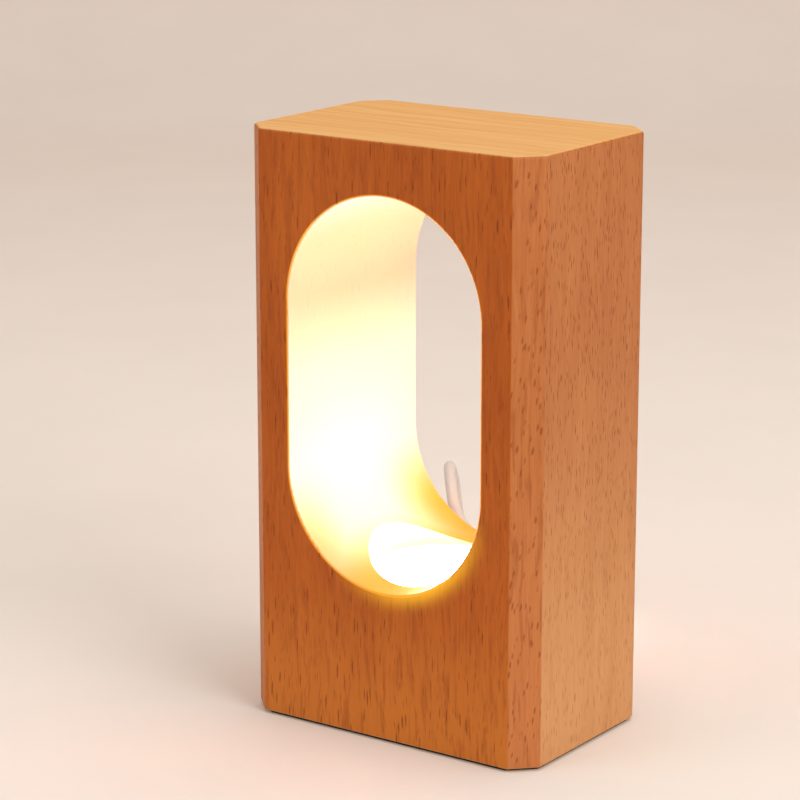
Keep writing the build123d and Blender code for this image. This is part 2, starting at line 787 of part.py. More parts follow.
# Contact blade that rocks on the middle terminal's bead, with a groove for it
blade_origin = switch_floor.origin + Vector(0, 0, blade_pivot)
blade_dir = along.rotate(Axis((0, 0, 0), switch_floor.y_dir), -blade_tilt)
blade_side = Plane(origin=blade_origin, x_dir=blade_dir, z_dir=-switch_floor.y_dir)
with BuildPart() as contact_blade:
    with BuildSketch(blade_side):
        with Locations((0, blade_thickness / 2)):
            Rectangle(blade_length, blade_thickness)
        Circle(bead_radius + bead_gap, mode=Mode.SUBTRACT)
    extrude(amount=blade_width / 2, both=True)

# Brass terminals: one under the blade's on end, one that the blade rocks on
strip = 0.6
terminal_end = 10
knife_foot = 0.8
knife_top = 0.3
with BuildPart() as switch_contacts:
    with BuildSketch(switch_side):
        with BuildLine():
            Polyline(
                (-terminal_end, switch_wall),
                (-blade_end + 1, switch_wall),
                (-blade_end + 1, rest_height),
                (-blade_end, rest_height),
                (-blade_end, switch_wall + strip),
                (-terminal_end, switch_wall + strip),
                close=True,
            )
        make_face()
        with BuildLine():
            Polyline(
                (-knife_foot, switch_wall),
                (terminal_end, switch_wall),
                (terminal_end, switch_wall + strip),
                (knife_foot, switch_wall + strip),
                (knife_top, blade_pivot - bead_radius),
                (-knife_top, blade_pivot - bead_radius),
                close=True,
            )
        make_face()
        with Locations((0, blade_pivot - bead_radius)):
            Rectangle(bead_radius, bead_radius)
        with Locations((0, blade_pivot)):
            Circle(bead_radius)
    extrude(amount=terminal_width / 2, both=True)

# Cores inside the switch: one cut and soldered to the terminals, one straight past them
core_side = core_spacing / 2
straight_out = jacket_end - 2.5
lug = switch_wall + strip + core_diameter / 2
with BuildPart() as switch_wires:
    for side in (-1, 1):
        cut_core = [
            beside_switch(side * jacket_end, core_side, switch_split),
            beside_switch(side * straight_out, core_side, switch_split),
            beside_switch(side * terminal_end, 0.3, lug + 0.1),
            beside_switch(side * 7.5, 0, lug + 0.05),
        ]
        lay_tube(cut_core, core_diameter)
    whole_core = [
        beside_switch(-jacket_end, -core_side, switch_split),
        beside_switch(-straight_out, -core_side, switch_split),
        beside_switch(-9, -4.4, 3.4),
        beside_switch(0, -4.7, 3.2),
        beside_switch(9, -4.4, 3.4),
        beside_switch(straight_out, -core_side, switch_split),
        beside_switch(jacket_end, -core_side, switch_split),
    ]
    lay_tube(whole_core, core_diameter)

# Screws that hold the two halves together, from below
switch_screw_length = switch_height - screw_recess - 2 * switch_wall - 0.4
switch_head_height = 1.3
with BuildPart() as switch_screws:
    with Locations(switch_floor.offset(screw_recess)):
        with Locations(boss_points):
            screw(switch_screw_diameter, switch_screw_head, switch_head_height, switch_screw_length)

# Coil of the put-away lead, as one closed ring of its outer shape
coil_width = (coil_columns - 1) * coil_pitch + cord_diameter
coil_height = (coil_rows - 1) * coil_pitch + cord_diameter
coil_outer = coil_radius + coil_width / 2
coil_top = coil_lift + coil_height
coil_y = back_face + coil_gap + coil_outer
with BuildPart() as cord_coil:
    with BuildSketch(Plane(origin=(coil_x, coil_y, coil_lift), x_dir=(1, 0, 0), z_dir=(0, -1, 0))):
        with Locations((coil_radius, coil_height / 2)):
            RectangleRounded(coil_width, coil_height, coil_corner)
    revolve(axis=Axis((coil_x, coil_y, 0), (0, 0, 1)))

# Strap tie round the coil's turns
tie_turn = radians(tie_angle)
tie_out = Vector(cos(tie_turn), sin(tie_turn), 0)
tie_along = Vector(-sin(tie_turn), cos(tie_turn), 0)
tie_centre = Vector(coil_x, coil_y, coil_lift + coil_height / 2) + tie_out * coil_radius
tie_inner_width = coil_width + 2 * tie_gap
tie_inner_height = coil_height + 0.1
with BuildPart() as cord_tie:
    with BuildSketch(Plane(origin=tie_centre, x_dir=tie_out, z_dir=-tie_along)):
        RectangleRounded(
            tie_inner_width + 2 * tie_thickness,
            tie_inner_height + 2 * tie_thickness,
            coil_corner + tie_thickness,
        )
        RectangleRounded(tie_inner_width, tie_inner_height, coil_corner, mode=Mode.SUBTRACT)
    extrude(amount=tie_width / 2, both=True)

# Tail of the lead: off the top of the coil, on round its inside, and up into the plug
plug_height = coil_top + 0.1 + plug_thickness / 2


def on_turn(angle, radius, height):
    """A point above the coil, at an angle about its middle."""
    turn = radians(angle)
    return (coil_x + radius * cos(turn), coil_y + radius * sin(turn), height)


plug_heading = plug_angle - 90
heading = Vector(cos(radians(plug_heading)), sin(radians(plug_heading)), 0)
plug_rear = Vector(*on_turn(plug_angle, plug_turn_radius, plug_height))
tail_step = 30
corner_radius = plug_turn_radius / cos(radians(tail_step / 2))
tail_run = 2 * plug_turn_radius * tan(radians(tail_step / 2))
tail_heights = [coil_top - 0.6, coil_top + 0.9, coil_top + 2.9, plug_height]
tail_corners = [
    on_turn(plug_angle + tail_step * (len(tail_heights) - 0.5 - place), corner_radius, height)
    for place, height in enumerate(tail_heights)
]
first_angle = radians(plug_angle + tail_step * len(tail_heights) - 90)
tail_start = Vector(*tail_corners[0]) - Vector(cos(first_angle), sin(first_angle), 0) * tail_run
tail_start.Z = coil_top - cord_radius
plug_end = Vector(*tail_corners[-1]) + heading * tail_run
route_tail = [tuple(tail_start)] + tail_corners + [tuple(plug_end)]
with BuildPart() as cord_tail:
    cord_lengths["cord_tail"] = lay_tube(route_tail, cord_diameter)

# Plug: moulded grip with a tapered relief, round the rear of the metal shell
plug_flat = Plane(origin=plug_end, x_dir=heading)
plug_front = Plane(origin=plug_end, x_dir=-plug_flat.y_dir, z_dir=heading)
grip_start = plug_relief_length
grip_end = plug_relief_length + plug_length
shell_seat = 6
shell_start = grip_end - shell_seat
shell_back = shell_start + tongue_gap
shell_mouth = grip_end + plug_shell_reach
window_offset = 5.5
shell_window_length = 2
shell_window_width = 2.4
shell_window_pitch = 5
grip_round = 0.6
shell_round = 0.5
with BuildPart() as plug_body:
    with BuildSketch(plug_front.offset(grip_start)):
        RectangleRounded(plug_width, plug_thickness, plug_corner)
    extrude(amount=plug_length)
    fillet(plug_body.edges().filter_by(GeomType.LINE, reverse=True), grip_round)
    with BuildSketch(plug_front):
        Circle(plug_relief_tip / 2)
    with BuildSketch(plug_front.offset(grip_start + 1)):
        Circle(plug_relief_diameter / 2)
    loft()
    with BuildSketch(plug_front.offset(shell_start)):
        Rectangle(plug_shell_width + 2 * tongue_gap, plug_shell_height + 2 * tongue_gap)
    extrude(amount=grip_end - shell_start, mode=Mode.SUBTRACT)

# Metal shell with its two square latch windows
inner_shell_width = plug_shell_width - 2 * plug_shell_wall
inner_shell_height = plug_shell_height - 2 * plug_shell_wall
with BuildPart() as plug_shell:
    with BuildSketch(plug_front.offset(shell_back)):
        RectangleRounded(plug_shell_width, plug_shell_height, shell_round)
        Rectangle(inner_shell_width, inner_shell_height, mode=Mode.SUBTRACT)
    extrude(amount=shell_mouth - shell_back)
    with BuildSketch(plug_flat):
        with Locations((grip_end + window_offset, 0)):
            with GridLocations(0, shell_window_pitch, 1, 2):
                Rectangle(shell_window_length, shell_window_width)
    extrude(amount=plug_shell_height, both=True, mode=Mode.SUBTRACT)

# Plastic tongue inside the shell, and the contacts on it
tongue_width = inner_shell_width - 2 * tongue_gap
tongue_top = inner_shell_height / 2 - tongue_gap
tongue_end = shell_mouth - tongue_short
with BuildPart() as plug_tongue:
    with BuildSketch(plug_front.offset(shell_back)):
        with Locations((0, tongue_top - tongue_thickness / 2)):
            Rectangle(tongue_width, tongue_thickness)
    extrude(amount=tongue_end - shell_back)

with BuildPart() as plug_contacts:
    with BuildSketch(plug_front.offset(shell_back + 2)):
        with Locations((0, tongue_top - tongue_thickness - plug_contact_thickness / 2)):
            with GridLocations(plug_contact_pitch, 0, plug_contact_count, 1):
                Rectangle(plug_contact_width, plug_contact_thickness)
    extrude(amount=tongue_end - shell_back - 3)

pieces = {
    "wooden_body": wooden_body,
    "base_plate": base_plate,
    "base_screws": base_screws,
    "foot_pad": foot_pad,
    "light_cup": light_cup,
    "diffuser": diffuser,
    "led_board": led_board,
    "thermal_pad": thermal_pad,
    "heat_plate": heat_plate,
    "leds": leds,
    "heat_plate_screws": heat_plate_screws,
    "cup_screws": cup_screws,
    "driver_board": driver_board,
    "driver_spacers": driver_spacers,
    "driver_screws": driver_screws,
    "driver_parts": driver_parts,
    "cord_clamp": cord_clamp,
    "clamp_screws": clamp_screws,
    "led_leads": led_leads,
    "cord_sleeve": cord_sleeve,
    "inner_cord": inner_cord,
    "supply_cores": supply_cores,
    "cord_to_switch": cord_to_switch,
    "cord_from_switch": cord_from_switch,
    "switch_base": switch_base,
    "switch_cover": switch_cover,
    "switch_rocker": switch_rocker,
    "switch_plunger": switch_plunger,
    "plunger_spring": plunger_spring,
    "contact_blade": contact_blade,
    "switch_contacts": switch_contacts,
    "switch_wires": switch_wires,
    "switch_screws": switch_screws,
    "cord_coil": cord_coil,
    "cord_tie": cord_tie,
    "cord_tail": cord_tail,
    "plug_body": plug_body,
    "plug_shell": plug_shell,
    "plug_tongue": plug_tongue,
    "plug_contacts": plug_contacts,
}
for name, piece in pieces.items():
    piece.part.label = name
    export_step(piece.part, f"parts/{name}.step")

# The routes' arcs, and each tube's volume against its section times its length
for name, route in (
    ("inner_cord", route_inside),
    ("cord_to_switch", route_to_switch),
    ("cord_from_switch", route_from_switch),
    ("cord_tail", route_tail),
):
    length = cord_lengths[name]
    share = pieces[name].part.volume / (pi * cord_radius**2 * length)
    rounded = [round(radius, 1) for radius in corner_radii(route)]
    print(f"{name}: length {length:.1f}, radii {rounded}, volume share {share:.4f}")
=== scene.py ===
import bmesh
import bpy
from math import cos, pi, radians, sin
from mathutils import Matrix, Vector


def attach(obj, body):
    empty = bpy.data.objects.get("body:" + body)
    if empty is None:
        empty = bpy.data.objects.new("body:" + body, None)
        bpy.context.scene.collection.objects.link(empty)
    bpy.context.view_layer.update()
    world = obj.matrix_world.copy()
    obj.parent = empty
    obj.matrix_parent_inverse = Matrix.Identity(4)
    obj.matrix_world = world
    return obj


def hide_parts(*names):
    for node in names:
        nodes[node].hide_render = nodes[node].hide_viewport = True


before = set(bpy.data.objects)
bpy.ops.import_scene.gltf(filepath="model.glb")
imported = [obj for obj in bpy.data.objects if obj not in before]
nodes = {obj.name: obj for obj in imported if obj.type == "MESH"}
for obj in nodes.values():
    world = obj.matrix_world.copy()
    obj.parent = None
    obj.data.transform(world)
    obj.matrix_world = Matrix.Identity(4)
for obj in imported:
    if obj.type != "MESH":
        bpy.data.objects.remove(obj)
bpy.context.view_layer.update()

MM = 0.001

# Camera: a long lens about three quarters of a metre away, a tenth of a turn round to the
# lamp's right and a little above it. It looks at the block's middle, a little off centre.
azimuth = radians(35.16)
elevation = radians(14.21)
distance_away = 749
aimed_left = 11.53
aimed_up = 6.38
block_middle = 75
back = Vector((sin(azimuth) * cos(elevation), -cos(azimuth) * cos(elevation), sin(elevation)))
right = Vector((cos(azimuth), sin(azimuth), 0))
up = back.cross(right)
camera = bpy.data.objects.new("camera", bpy.data.cameras.new("camera"))
camera.data.sensor_width = 36
camera.data.lens = 135.63
camera.data.clip_start = 0.05
facing = Matrix((right, up, back)).transposed().to_4x4()
place = Vector((0, 0, block_middle)) + back * distance_away - right * aimed_left + up * aimed_up
camera.matrix_world = Matrix.Translation(place * MM) @ facing
bpy.context.scene.collection.objects.link(camera)
bpy.context.scene.camera = camera
bpy.context.scene.view_settings.view_transform = "Standard"


# Shader notation. A Tone is one varying number of a finish, and arithmetic on Tones adds Math
# nodes. A Finish is one material: it adds nodes and joins them to its surface.
class Tone:
    def __init__(self, finish, socket):
        self.finish = finish
        self.socket = socket

    def __add__(self, other):
        return self.finish.math("ADD", self, other)

    def __sub__(self, other):
        return self.finish.math("SUBTRACT", self, other)

    def __rsub__(self, other):
        return self.finish.math("SUBTRACT", other, self)

    def __mul__(self, other):
        return self.finish.math("MULTIPLY", self, other)

    def __truediv__(self, other):
        return self.finish.math("DIVIDE", self, other)

    def __pow__(self, other):
        return self.finish.math("POWER", self, other)

    def __abs__(self):
        return self.finish.math("ABSOLUTE", self)

    def root(self):
        return self.finish.math("SQRT", self)

    def least(self, other):
        return self.finish.math("MINIMUM", self, other)

    def most(self, other):
        return self.finish.math("MAXIMUM", self, other)

    def ramp(self, start, end, low=0.0, high=1.0):
        settings = {"interpolation_type": "SMOOTHSTEP"}
        return self.finish.add("ShaderNodeMapRange", settings, {0: self, 1: start, 2: end, 3: low, 4: high})

    __radd__ = __add__
    __rmul__ = __mul__


class Finish:
    def __init__(self, name, slot):
        self.slot = slot
        self.material = bpy.data.materials.new(name)
        self.material.use_nodes = True
        self.tree = self.material.node_tree
        self.tree.nodes.clear()
        self.shader = self.tree.nodes.new("ShaderNodeBsdfPrincipled")
        out = self.tree.nodes.new("ShaderNodeOutputMaterial")
        self.tree.links.new(self.shader.outputs[0], out.inputs["Surface"])
        position = self.add("ShaderNodeTexCoord", out="Object")
        self.place = self.vector("MULTIPLY", position, (1000, 1000, 1000))
        self.x, self.y, self.z = self.split(self.place)

    def add(self, kind, settings=None, inputs=None, out=0):
        node = self.tree.nodes.new(kind)
        for name, value in (settings or {}).items():
            setattr(node, name, value)
        for name, value in (inputs or {}).items():
            self.feed(node.inputs[name], value)
        return Tone(self, node.outputs[out])

    def feed(self, socket, value):
        if isinstance(value, Tone):
            self.tree.links.new(value.socket, socket)
        elif socket.type == "RGBA" and len(value) == 3:
            socket.default_value = (*value, 1)
        else:
            socket.default_value = value

    def math(self, operation, *values):
        return self.add("ShaderNodeMath", {"operation": operation}, dict(enumerate(values)))

    def split(self, vector):
        node = self.tree.nodes.new("ShaderNodeSeparateXYZ")
        self.feed(node.inputs[0], vector)
        return [Tone(self, socket) for socket in node.outputs]

    def join(self, x, y, z):
        return self.add("ShaderNodeCombineXYZ", None, {0: x, 1: y, 2: z})

    def vector(self, operation, one, other):
        return self.add("ShaderNodeVectorMath", {"operation": operation}, {0: one, 1: other})

    def blend(self, share, one, other):
        return self.add("ShaderNodeMix", {"data_type": "RGBA"}, {0: share, 6: one, 7: other}, out=2)

    def noise(self, place, scale=1.0, detail=2.0, rough=0.5):
        inputs = {"Vector": place, "Scale": scale, "Detail": detail, "Roughness": rough}
        return self.add("ShaderNodeTexNoise", None, inputs, out="Fac")

    def cells(self, place, out="Distance"):
        return self.add("ShaderNodeTexVoronoi", None, {"Vector": place, "Scale": 1.0}, out=out)

    def surface(self, **values):
        for name, value in values.items():
            self.feed(self.shader.inputs[name.replace("_", " ")], value)

    def bump(self, height, depth, strength=1.0):
        inputs = {"Strength": strength, "Distance": depth * MM, "Height": height}
        self.surface(Normal=self.add("ShaderNodeBump", None, inputs, out="Normal"))

    def coat(self, *pieces):
        for piece in pieces:
            piece.data.materials.clear()
            piece.data.materials.append(self.material)


def linear(red, green, blue):
    shares = [part / 255 for part in (red, green, blue)]
    return tuple(s / 12.92 if s <= 0.04045 else ((s + 0.055) / 1.055) ** 2.4 for s in shares)


def piece_of(name, mesh):
    piece = bpy.data.objects.new(name, mesh)
    bpy.context.scene.collection.objects.link(piece)
    return piece


# Room: a pale floor that runs up into a pale backdrop, a large soft lamp on the lamp's right, a
# weaker one at the front left, one overhead, and an even sky.
reach = 3.0
depth = 1.3
top = 1.9
curve = 0.45
profile = [(-reach, 0.0)] + [
    (depth - curve + curve * sin(radians(angle)), curve - curve * cos(radians(angle)))
    for angle in range(0, 91, 9)
] + [(depth, top)]
away = -Vector((back.x, back.y, 0)).normalized()
sweep = bmesh.new()
rows = []
for far, high in profile:
    middle = away * far + Vector((0, 0, high))
    rows.append([sweep.verts.new(middle + right * side) for side in (-reach, reach)])
for row, next_row in zip(rows, rows[1:]):
    sweep.faces.new((row[0], row[1], next_row[1], next_row[0])).smooth = True
backdrop_mesh = bpy.data.meshes.new("backdrop")
sweep.to_mesh(backdrop_mesh)
sweep.free()
backdrop = piece_of("backdrop", backdrop_mesh)
paper = Finish("backdrop_paper", None)
fibre = paper.noise(paper.place, 0.02, 3)
floor_paper = paper.blend(fibre, linear(241, 236, 232), linear(247, 242, 238))
wall_paper = linear(243, 206, 180)
paper.surface(Base_Color=paper.blend(paper.z.ramp(5, 260), floor_paper, wall_paper), Roughness=0.9)
backdrop.data.materials.append(paper.material)

world = bpy.data.worlds.new("sky")
bpy.context.scene.world = world
world.use_nodes = True
world.node_tree.nodes["Background"].inputs["Color"].default_value = (1.0, 0.93, 0.86, 1)
world.node_tree.nodes["Background"].inputs["Strength"].default_value = 0.4


def soft_lamp(name, spot, target, width, height, power):
    lamp = bpy.data.objects.new(name, bpy.data.lights.new(name, "AREA"))
    lamp.data.shape = "RECTANGLE"
    lamp.data.size = width
    lamp.data.size_y = height
    lamp.data.energy = power
    lamp.data.color = (1.0, 0.95, 0.88)
    lamp.location = spot
    lamp.rotation_euler = (Vector(target) - Vector(spot)).to_track_quat("-Z", "Y").to_euler()
    bpy.context.scene.collection.objects.link(lamp)


soft_lamp("side_lamp", (1.1, -0.25, 0.75), (0, 0, 0.07), 0.8, 0.8, 7.5)
soft_lamp("front_lamp", (-0.7, -1.1, 0.6), (0, 0, 0.08), 0.8, 0.8, 3.6)
soft_lamp("top_lamp", (0.1, 0.15, 1.3), (0, 0, 0.1), 0.9, 0.9, 6.3)


# Block: one piece of steamed beech, sanded and oiled, grain upright. The rays show as dark
# dashes, long and sparse on the front, short and dense on the sides, and the rings on top.
# The opening is cut through it with softened rims. Light from the lamp is painted on its walls and rims, as
# colour and as a painted glow where the light is close.
opening_middle = 87.55
opening_round = 28.2
opening_straight = 20.85
bore_round = 19.4

beech = Finish("beech", "beech")
# Where a point of the block lies: beyond the rim, in the bore, on a side, a corner, the top or front
facing_x, facing_y, facing_z = beech.split(beech.add("ShaderNodeTexCoord", out="Normal"))
above = (abs(beech.z - opening_middle) - opening_straight).most(0.0)
from_rim = (beech.x * beech.x + above * above).root() - opening_round
from_bore = (beech.x * beech.x + beech.y * beech.y).root() - bore_round
in_bore = from_bore.ramp(0.5, 0.1) * beech.z.ramp(34, 36) * beech.z.ramp(60, 55)
in_opening = from_rim.ramp(0.3, 0.02).most(in_bore)
on_side = abs(facing_x).ramp(0.82, 0.95) * (1 - in_opening)
on_corner = (abs(facing_x) * abs(facing_y)).ramp(0.25, 0.42) * (1 - in_opening)
on_top = abs(facing_z).ramp(0.6, 0.9) * (1 - in_opening)
on_front = abs(facing_y).ramp(0.8, 0.95)

# Grain: its slow wander, and dashes, smudges, streaks, bands, rings and pores along it
wander = beech.noise(beech.join(beech.x * 0.06, beech.y * 0.06, beech.z * 0.014), 1, 2)
drift = (wander - 0.5) * 6
ragged = beech.noise(beech.join(beech.x * 2.2, beech.y * 2.2, beech.z * 0.7), 1, 2)


def along_grain(across, lengthwise, detail, rough=0.5):
    """Noise drawn out along the grain, at so many features a millimetre across and along."""
    place = beech.join((beech.x + drift) * across, (beech.y + drift) * across, beech.z * lengthwise)
    return beech.noise(place, 1, detail, rough)


def dashes(width, height, size, blur, share, shift, lean=0.0):
    """Upright dark dashes where a slender cell is cut by the surface, on a share of the cells."""
    slant = beech.join(
        (beech.x + drift + beech.z * lean) / width + shift,
        (beech.y + drift) / width,
        beech.z / height,
    )
    strength = beech.split(beech.cells(slant, out="Color"))[0].ramp(1 - share, 1.2 - share)
    return (beech.cells(slant) + ragged * 0.24 - 0.12).ramp(size + blur, size) * strength


long_dashes = dashes(1.0, 9, 0.12, 0.17, 0.62, 0)
fine_dashes = dashes(0.65, 5.5, 0.12, 0.17, 0.85, 11)
short_dashes = dashes(0.55, 4.5, 0.16, 0.18, 0.85, 7, -0.04) * beech.z.ramp(10, 110, 0.5, 1)
fat_dashes = dashes(1.0, 4.2, 0.15, 0.2, 0.75, 3, -0.18)
flecks = (long_dashes * 0.85 + fine_dashes * 0.5).least(1.0) * (1 - on_side) * (1 - on_corner)
flecks = flecks + short_dashes * on_side + fat_dashes * on_corner * 0.85
# Flecks are faded in the opening, where the painted light washes them out.
flecks = flecks.least(1.0) * (1 - on_top) * (1 - in_opening * 0.8)

smudges = along_grain(0.7, 0.075, 3, 0.6).ramp(0.48, 0.68)
streaks = along_grain(1.6, 0.06, 3, 0.65)
bands = along_grain(0.16, 0.008, 2)
clouds = beech.noise(beech.join(beech.x, beech.y, beech.z * 0.5), 0.03, 2)
ring_wave = beech.noise(beech.join(beech.x * 0.03, beech.y * 0.1, 0.0), 1, 2)
rings = beech.noise(beech.join(beech.x * 0.02, beech.y * 0.9 + ring_wave * 6, beech.z * 0.004), 1, 3, 0.6)
pores = along_grain(4.5, 0.5, 2, 0.6)

# Colours: each face's wood with painted light and shade in it (the front darker, partly its own cut and
# partly painted shade; the top lighter as painted light; the sides and front paler low down as painted
# bounce from the floor), then the painted light on the walls and rim, and the marks over all of it
tint = (streaks * 0.4 + bands * 0.25 + clouds * 0.35).ramp(0.34, 0.66)
side_dark = beech.blend(tint, linear(184, 110, 60), linear(200, 126, 72))
side_painted_bounce = beech.blend(tint, linear(208, 146, 92), linear(218, 158, 104))
# Sides paler low down: painted bounce light from the floor.
side_wood_and_bounce = beech.blend(beech.z.ramp(115, 5), side_dark, side_painted_bounce)
corner_wood = beech.blend(tint, linear(190, 112, 58), linear(206, 128, 74))
# Front darker than the sides: partly its own cut of grain, partly painted shade.
front_wood_shade_and_bounce = beech.blend(tint, linear(176, 84, 19), linear(196, 102, 30))
# Front paler low down: painted bounce light from the floor.
front_wood_shade_and_bounce = beech.blend(beech.z.ramp(46, 0, 0, 0.7), front_wood_shade_and_bounce, linear(214, 130, 50))
wood = beech.blend(on_corner, side_wood_and_bounce, corner_wood)
wood = beech.blend(on_front, wood, front_wood_shade_and_bounce)
wood = beech.blend(smudges * (1 - on_side * 0.7) * 0.38, wood, linear(146, 62, 18))
# Top lighter than the sides: painted light from above, over the real rings.
top_wood_and_light = beech.blend(rings.ramp(0.35, 0.65), linear(226, 168, 98), linear(236, 186, 120))
wood = beech.blend(on_top, wood, top_wood_and_light)
# Opening walls: painted light from the lamp, golden in the low saddle and paler elsewhere.
golden_light_share = (beech.y.ramp(6, 26) + beech.y.ramp(-10, -27) * 0.65) * beech.z.ramp(64, 46)
golden_light_share = golden_light_share.most(beech.z.ramp(49, 38))
lit_wood = beech.blend(golden_light_share, linear(236, 184, 138), linear(230, 158, 62))
# Painted light: an orange band on the softened rim where the lamp lights it.
wood = beech.blend(from_rim.ramp(0.75, 0.4), wood, linear(222, 136, 36))
wood = beech.blend(in_opening, wood, lit_wood)
fleck_brown = beech.blend(on_side.most(on_corner), linear(122, 50, 14), linear(140, 66, 28))
wood = beech.blend(flecks * 0.75, wood, fleck_brown)
wood = beech.blend(pores.ramp(0.6, 0.85, 0, 0.25), wood, linear(150, 76, 34))
# Painted glow standing in for the lamp's light on the walls, white low down and warmer above, and round the
# rim over the light
low_rim = beech.z.ramp(66, 42) * beech.x.ramp(-18, 14) * on_front
halo = (from_rim.ramp(9, 0) ** 4 * low_rim).most(from_rim.ramp(0.65, 0.2) * (1 - in_opening) * 0.5)
rim_glow = beech.blend(halo, (0, 0, 0), (0.55, 0.34, 0.01))
wall_glow = beech.blend(beech.z.ramp(86, 110), (0.5, 0.38, 0.42), (0.3, 0.11, 0.16))
wall_glow = beech.blend(beech.z.ramp(122, 137), wall_glow, (0.36, 0.2, 0.44))
wall_glow = beech.blend(golden_light_share, wall_glow, (0.3, 0.15, 0.02))
glow = beech.blend(in_opening, rim_glow, wall_glow)
beech.surface(
    Base_Color=wood,
    Roughness=(0.52 + flecks * 0.2 - tint * 0.06),
    Specular_IOR_Level=0.2,
    Emission_Color=glow,
    Emission_Strength=1,
)
beech.bump(pores * 0.3 + streaks * 0.3 - flecks, 0.08, 0.7)
beech.coat(nodes["wooden_body"])


# Foot pad: black foam, a millimetre thick and a little smaller than the block, so a dark line
# shows under the wood. It is stuck on over the base plate.
foam = Finish("foot_foam", "foot_foam")
cell_grain = foam.noise(foam.place, 6, 2)
foam.surface(Base_Color=foam.blend(cell_grain, (0.012, 0.009, 0.007), (0.03, 0.026, 0.022)), Roughness=0.95)
foam.bump(cell_grain, 0.08, 0.6)
foam.coat(nodes["foot_pad"])


# Base plate: thin birch plywood let into the underside, held by countersunk screws. All the
# lamp's small screws are of the same plated steel.
ply = Finish("plywood", "plywood")
ply_grain = ply.noise(ply.join(ply.x * 0.08, ply.y * 1.4, ply.z * 3), 1, 4, 0.6)
ply_layers = abs(ply.math("FRACT", ply.z) - 0.5).ramp(0.2, 0.3)
ply_tone = ply.blend(ply_grain, linear(196, 158, 112), linear(224, 194, 150))
ply.surface(Base_Color=ply.blend(ply_layers * 0.35, ply_tone, linear(140, 100, 64)), Roughness=0.7)
ply.bump(ply_grain, 0.05, 0.5)
ply.coat(nodes["base_plate"])

screw_steel = Finish("screw_steel", "screw_steel")
turned = screw_steel.noise(screw_steel.place, 5, 3)
screw_steel.surface(
    Base_Color=screw_steel.blend(turned, (0.42, 0.4, 0.36), (0.6, 0.58, 0.53)),
    Metallic=1.0,
    Roughness=turned.ramp(0.2, 0.8, 0.28, 0.45),
)
for held in ("base", "heat_plate", "cup", "driver", "clamp", "switch"):
    screw_steel.coat(nodes[held + "_screws"])


# Light module: a white moulded cup that screws up into the bore, an opal cover plugged into its
# top, and under it the light board, grey pad and aluminium plate, all held by three screws.
moulding = Finish("white_moulding", "white_moulding")
mould_grain = moulding.noise(moulding.place, 3, 3)
moulding.surface(
    Base_Color=moulding.blend(mould_grain, linear(222, 221, 216), linear(234, 233, 229)),
    Roughness=mould_grain.ramp(0.3, 0.7, 0.42, 0.52),
)
moulding.bump(mould_grain, 0.02, 0.5)
moulding.coat(nodes["light_cup"], nodes["plug_tongue"])

opal = Finish("opal_cover", "opal")
centre = (opal.x * opal.x + opal.y * opal.y).root()
lit = opal.blend(centre.ramp(4, 19.5), (1.0, 0.9, 0.76), (1.0, 0.82, 0.64))
opal.surface(Base_Color=linear(240, 236, 226), Roughness=0.4, Emission_Color=lit, Emission_Strength=30)
opal.coat(nodes["diffuser"])

light_board = Finish("light_board", "light_board")
spread = (light_board.x * light_board.x + light_board.y * light_board.y).root()
track = abs(spread - 11).ramp(2.0, 2.3)
solder_white = light_board.blend(track, linear(214, 216, 210), linear(232, 233, 230))
light_board.surface(Base_Color=solder_white, Roughness=0.4)
light_board.bump(track, 0.03, 0.5)
light_board.coat(nodes["led_board"])

light_chip = Finish("light_chip", "light_chip")
chip_grain = light_chip.noise(light_chip.place, 4, 2)
light_chip.surface(
    Base_Color=light_chip.blend(chip_grain, (0.9, 0.62, 0.08), (1.0, 0.8, 0.2)),
    Roughness=0.3,
    Emission_Color=(1.0, 0.8, 0.5, 1),
    Emission_Strength=4,
)
light_chip.coat(nodes["leds"])

grey_pad = Finish("grey_pad", "grey_pad")
pad_grain = grey_pad.noise(grey_pad.place, 5, 3)
grey_pad.surface(Base_Color=grey_pad.blend(pad_grain, (0.14, 0.15, 0.16), (0.2, 0.21, 0.22)), Roughness=0.85)
grey_pad.coat(nodes["thermal_pad"])

heat = Finish("heat_aluminium", "heat_aluminium")
lathe = heat.noise((heat.x * heat.x + heat.y * heat.y).root() * 4, 1, 2)
heat.surface(
    Base_Color=heat.blend(lathe, (0.55, 0.56, 0.57), (0.68, 0.69, 0.7)),
    Metallic=1.0,
    Roughness=lathe.ramp(0.3, 0.7, 0.3, 0.42),
)
heat.bump(lathe, 0.02, 0.4)
heat.coat(nodes["heat_plate"])


# Driver: a small green board on nylon spacers with its inductor, capacitor, chip, diode and
# resistors, fed by the lead's two cores, which a nylon clamp holds to the base plate.
board = Finish("driver_board", "driver_board")
weave = board.noise(board.place, 3, 2)
tracks = board.cells(board.vector("MULTIPLY", board.place, (0.35, 0.35, 0)), "Color")
paths = board.split(tracks)[0].ramp(0.5, 0.52)
resist = board.blend(paths, linear(16, 84, 48), linear(24, 104, 60))
board.surface(Base_Color=board.blend(weave * 0.2, resist, linear(30, 90, 60)), Roughness=0.35)
board.bump(paths, 0.03, 0.5)
board.coat(nodes["driver_board"])

nylon = Finish("nylon", "nylon")
nylon_grain = nylon.noise(nylon.place, 2.5, 3)
nylon.surface(
    Base_Color=nylon.blend(nylon_grain, linear(220, 216, 204), linear(232, 229, 219)),
    Roughness=0.45,
)
nylon.bump(nylon_grain, 0.02, 0.4)
nylon.coat(nodes["driver_spacers"], nodes["cord_clamp"])

parts_black = Finish("board_parts", "board_parts")
part_grain = parts_black.noise(parts_black.place, 5, 2)
parts_black.surface(Base_Color=parts_black.blend(part_grain, (0.012, 0.012, 0.014), (0.03, 0.03, 0.033)),
                    Roughness=0.4)
parts_black.coat(nodes["driver_parts"])

